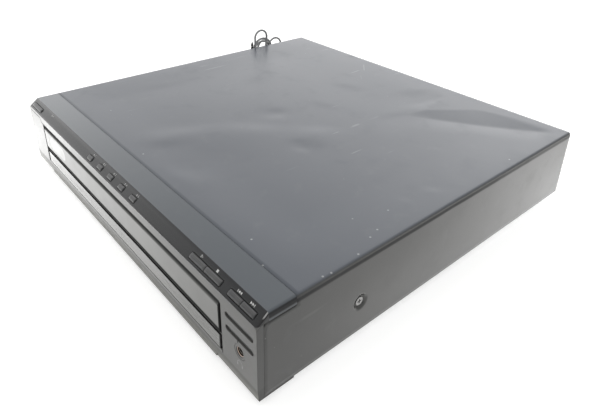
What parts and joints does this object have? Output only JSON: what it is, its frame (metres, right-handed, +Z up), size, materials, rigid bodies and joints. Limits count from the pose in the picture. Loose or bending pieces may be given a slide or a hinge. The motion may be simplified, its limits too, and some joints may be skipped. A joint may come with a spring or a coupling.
{
  "type": "dvd changer",
  "caption": "Slim front-loading disc changer with a sliding carousel tray, sloped key strip, display window and a tied mains cord.",
  "frame": {"origin": "on the table plane under the middle of the case, cord left out", "axes": "+X to the right seen from the front, -Y out of the front, +Z up"},
  "size_m": [0.473, 0.4732, 0.1032],
  "materials": {
    "cover_paint": "dark blue-grey satin paint on sheet steel, slightly textured and dented",
    "bezel_plastic": "black semi-gloss moulded plastic",
    "door_plastic": "black semi-gloss moulded plastic",
    "smoked_window": "dark smoke-tinted acrylic",
    "key_plastic": "black glossy plastic",
    "chassis_steel": "zinc plated sheet steel",
    "rear_paint": "dark grey satin paint",
    "rubber": "black rubber",
    "dark_plastic": "black moulded plastic",
    "grey_plastic": "dark grey moulded plastic",
    "white_plastic": "white acetal",
    "board_green": "green solder mask on fibre board",
    "board_brown": "brown paper board",
    "motor_steel": "plated steel can",
    "bright_chrome": "bright plated metal",
    "lens_glass": "coated lens",
    "tube_glass": "dark glass",
    "ribbon_white": "flat white ribbon cable",
    "cord_grey": "flexible dark grey cord jacket",
    "black_screw": "black oxide screw"
  },
  "bodies": {
    "case": {"av_jacks": "dark_plastic", "board_chips": "dark_plastic", "bottom_chassis": "chassis_steel", "case_screws": "black_screw", "clamp_bridge": "chassis_steel", "cord_tie": "dark_plastic", "display_tube": "tube_glass", "display_window": "smoked_window", "drive_belt": "rubber", "feet": "rubber", "front_bezel": "bezel_plastic", "front_board": "board_brown", "headphone_jack": "bright_chrome", "key_board": "board_brown", "key_switches": "dark_plastic", "lift_motor": "motor_steel", "loading_motor": "motor_steel", "main_board": "board_green", "mains_plug": "dark_plastic", "mechanism_base": "dark_plastic", "power_board": "board_brown", "power_cord_hank": "cord_grey", "power_cord_runs": "cord_grey", "power_transformer": "motor_steel", "rear_panel": "rear_paint", "ribbon_cable": "ribbon_white", "strain_relief": "dark_plastic", "top_cover": "cover_paint"},
    "tray": {"loading_tray": "grey_plastic", "tray_front": "door_plastic", "turntable_motor": "motor_steel", "turntable_belt": "rubber"},
    "carousel": {"turntable": "dark_plastic"},
    "carousel_pulley": {"turntable_pulley": "white_plastic"},
    "pinion": {"tray_pinion": "white_plastic"},
    "drive_wheel": {"belt_wheel": "white_plastic"},
    "drive_pulley": {"motor_pulley": "white_plastic"},
    "base_unit": {"base_frame": "dark_plastic", "spindle_motor": "motor_steel", "guide_rods": "bright_chrome", "sled_motor": "motor_steel"},
    "spindle": {"spindle_hub": "dark_plastic"},
    "sled": {"pickup_sled": "dark_plastic", "pickup_lens": "lens_glass"},
    "sled_drive": {"sled_gear": "white_plastic"},
    "slider": {"lift_slider": "white_plastic"},
    "lift_drive": {"lift_gear": "white_plastic"},
    "clamp_puck": {"clamper": "grey_plastic"},
    "power_button": {"power_button": "key_plastic"},
    "disc_button_1": {"disc_button_1": "key_plastic"},
    "disc_button_2": {"disc_button_2": "key_plastic"},
    "disc_button_3": {"disc_button_3": "key_plastic"},
    "disc_button_4": {"disc_button_4": "key_plastic"},
    "disc_button_5": {"disc_button_5": "key_plastic"},
    "play_button": {"play_button": "key_plastic"},
    "stop_button": {"stop_button": "key_plastic"},
    "previous_button": {"previous_button": "key_plastic"},
    "next_button": {"next_button": "key_plastic"},
    "open_close_button": {"open_close_button": "key_plastic"},
    "disc_skip_button": {"disc_skip_button": "key_plastic"}
  },
  "joints": [
    {"name": "tray_slide", "type": "slide", "parent": "case", "child": "tray", "axis": [0, -1, 0], "range_m": [0, 0.24]},
    {"name": "carousel_spin", "type": "hinge", "parent": "tray", "child": "carousel", "pos_m": [0, -0.0165, 0.05], "axis": [0, 0, 1], "continuous": true},
    {"name": "carousel_pulley_spin", "type": "hinge", "parent": "tray", "child": "carousel_pulley", "pos_m": [-0.148, -0.1705, 0.044], "axis": [0, 0, 1], "continuous": true},
    {"name": "pinion_spin", "type": "hinge", "parent": "case", "child": "pinion", "pos_m": [-0.1075, -0.1445, 0.037], "axis": [0, 0, 1], "range_deg": [-5, 1025]},
    {"name": "drive_wheel_spin", "type": "hinge", "parent": "case", "child": "drive_wheel", "pos_m": [-0.0835, -0.1445, 0.033], "axis": [0, 0, 1], "range_deg": [-1320, 5]},
    {"name": "drive_pulley_spin", "type": "hinge", "parent": "case", "child": "drive_pulley", "pos_m": [-0.0335, -0.1445, 0.033], "axis": [0, 0, 1], "range_deg": [-5600, 20]},
    {"name": "base_unit_lift", "type": "slide", "parent": "case", "child": "base_unit", "axis": [0, 0, 1], "range_m": [0, 0.013]},
    {"name": "slider_shift", "type": "slide", "parent": "case", "child": "slider", "axis": [1, 0, 0], "range_m": [0, 0.03]},
    {"name": "lift_gear_spin", "type": "hinge", "parent": "case", "child": "lift_drive", "pos_m": [0, 0.0395, 0.023], "axis": [0, 0, 1], "range_deg": [-192, 1]},
    {"name": "spindle_spin", "type": "hinge", "parent": "base_unit", "child": "spindle", "pos_m": [0, 0.0885, 0.04], "axis": [0, 0, 1], "continuous": true},
    {"name": "sled_slide", "type": "slide", "parent": "base_unit", "child": "sled", "axis": [0, 1, 0], "range_m": [0, 0.035]},
    {"name": "sled_gear_spin", "type": "hinge", "parent": "base_unit", "child": "sled_drive", "pos_m": [0.0175, 0.1385, 0.03], "axis": [0, 0, 1], "range_deg": [-335, 1]},
    {"name": "clamp_puck_spin", "type": "hinge", "parent": "case", "child": "clamp_puck", "pos_m": [0, 0.0885, 0.065], "axis": [0, 0, 1], "continuous": true},
    {"name": "power_button_press", "type": "slide", "parent": "case", "child": "power_button", "axis": [0, 0.6145, -0.7889], "range_m": [0, 0.0007], "stiffness_N_per_m": 400, "springref_m": -0.0005},
    {"name": "disc_button_1_press", "type": "slide", "parent": "case", "child": "disc_button_1", "axis": [0, 0.6145, -0.7889], "range_m": [0, 0.0007], "stiffness_N_per_m": 400, "springref_m": -0.0005},
    {"name": "disc_button_2_press", "type": "slide", "parent": "case", "child": "disc_button_2", "axis": [0, 0.6145, -0.7889], "range_m": [0, 0.0007], "stiffness_N_per_m": 400, "springref_m": -0.0005},
    {"name": "disc_button_3_press", "type": "slide", "parent": "case", "child": "disc_button_3", "axis": [0, 0.6145, -0.7889], "range_m": [0, 0.0007], "stiffness_N_per_m": 400, "springref_m": -0.0005},
    {"name": "disc_button_4_press", "type": "slide", "parent": "case", "child": "disc_button_4", "axis": [0, 0.6145, -0.7889], "range_m": [0, 0.0007], "stiffness_N_per_m": 400, "springref_m": -0.0005},
    {"name": "disc_button_5_press", "type": "slide", "parent": "case", "child": "disc_button_5", "axis": [0, 0.6145, -0.7889], "range_m": [0, 0.0007], "stiffness_N_per_m": 400, "springref_m": -0.0005},
    {"name": "play_button_press", "type": "slide", "parent": "case", "child": "play_button", "axis": [0, 0.6145, -0.7889], "range_m": [0, 0.0007], "stiffness_N_per_m": 400, "springref_m": -0.0005},
    {"name": "stop_button_press", "type": "slide", "parent": "case", "child": "stop_button", "axis": [0, 0.6145, -0.7889], "range_m": [0, 0.0007], "stiffness_N_per_m": 400, "springref_m": -0.0005},
    {"name": "previous_button_press", "type": "slide", "parent": "case", "child": "previous_button", "axis": [0, 0.6145, -0.7889], "range_m": [0, 0.0007], "stiffness_N_per_m": 400, "springref_m": -0.0005},
    {"name": "next_button_press", "type": "slide", "parent": "case", "child": "next_button", "axis": [0, 0.6145, -0.7889], "range_m": [0, 0.0007], "stiffness_N_per_m": 400, "springref_m": -0.0005},
    {"name": "open_close_button_press", "type": "slide", "parent": "case", "child": "open_close_button", "axis": [0, 1, 0], "range_m": [0, 0.0007], "stiffness_N_per_m": 400, "springref_m": -0.0005},
    {"name": "disc_skip_button_press", "type": "slide", "parent": "case", "child": "disc_skip_button", "axis": [0, 1, 0], "range_m": [0, 0.0007], "stiffness_N_per_m": 400, "springref_m": -0.0005}
  ],
  "couplings": [
    {"joint": "carousel_pulley_spin", "follows": "carousel_spin", "ratio": 8},
    {"joint": "pinion_spin", "follows": "tray_slide", "rad_per_m": 74.074},
    {"joint": "drive_wheel_spin", "follows": "tray_slide", "rad_per_m": -95.238},
    {"joint": "drive_pulley_spin", "follows": "tray_slide", "rad_per_m": -404.76},
    {"joint": "slider_shift", "follows": "base_unit_lift", "ratio": 2.3077},
    {"joint": "lift_gear_spin", "follows": "base_unit_lift", "rad_per_m": -256.41},
    {"joint": "sled_gear_spin", "follows": "sled_slide", "rad_per_m": -166.67}
  ]
}
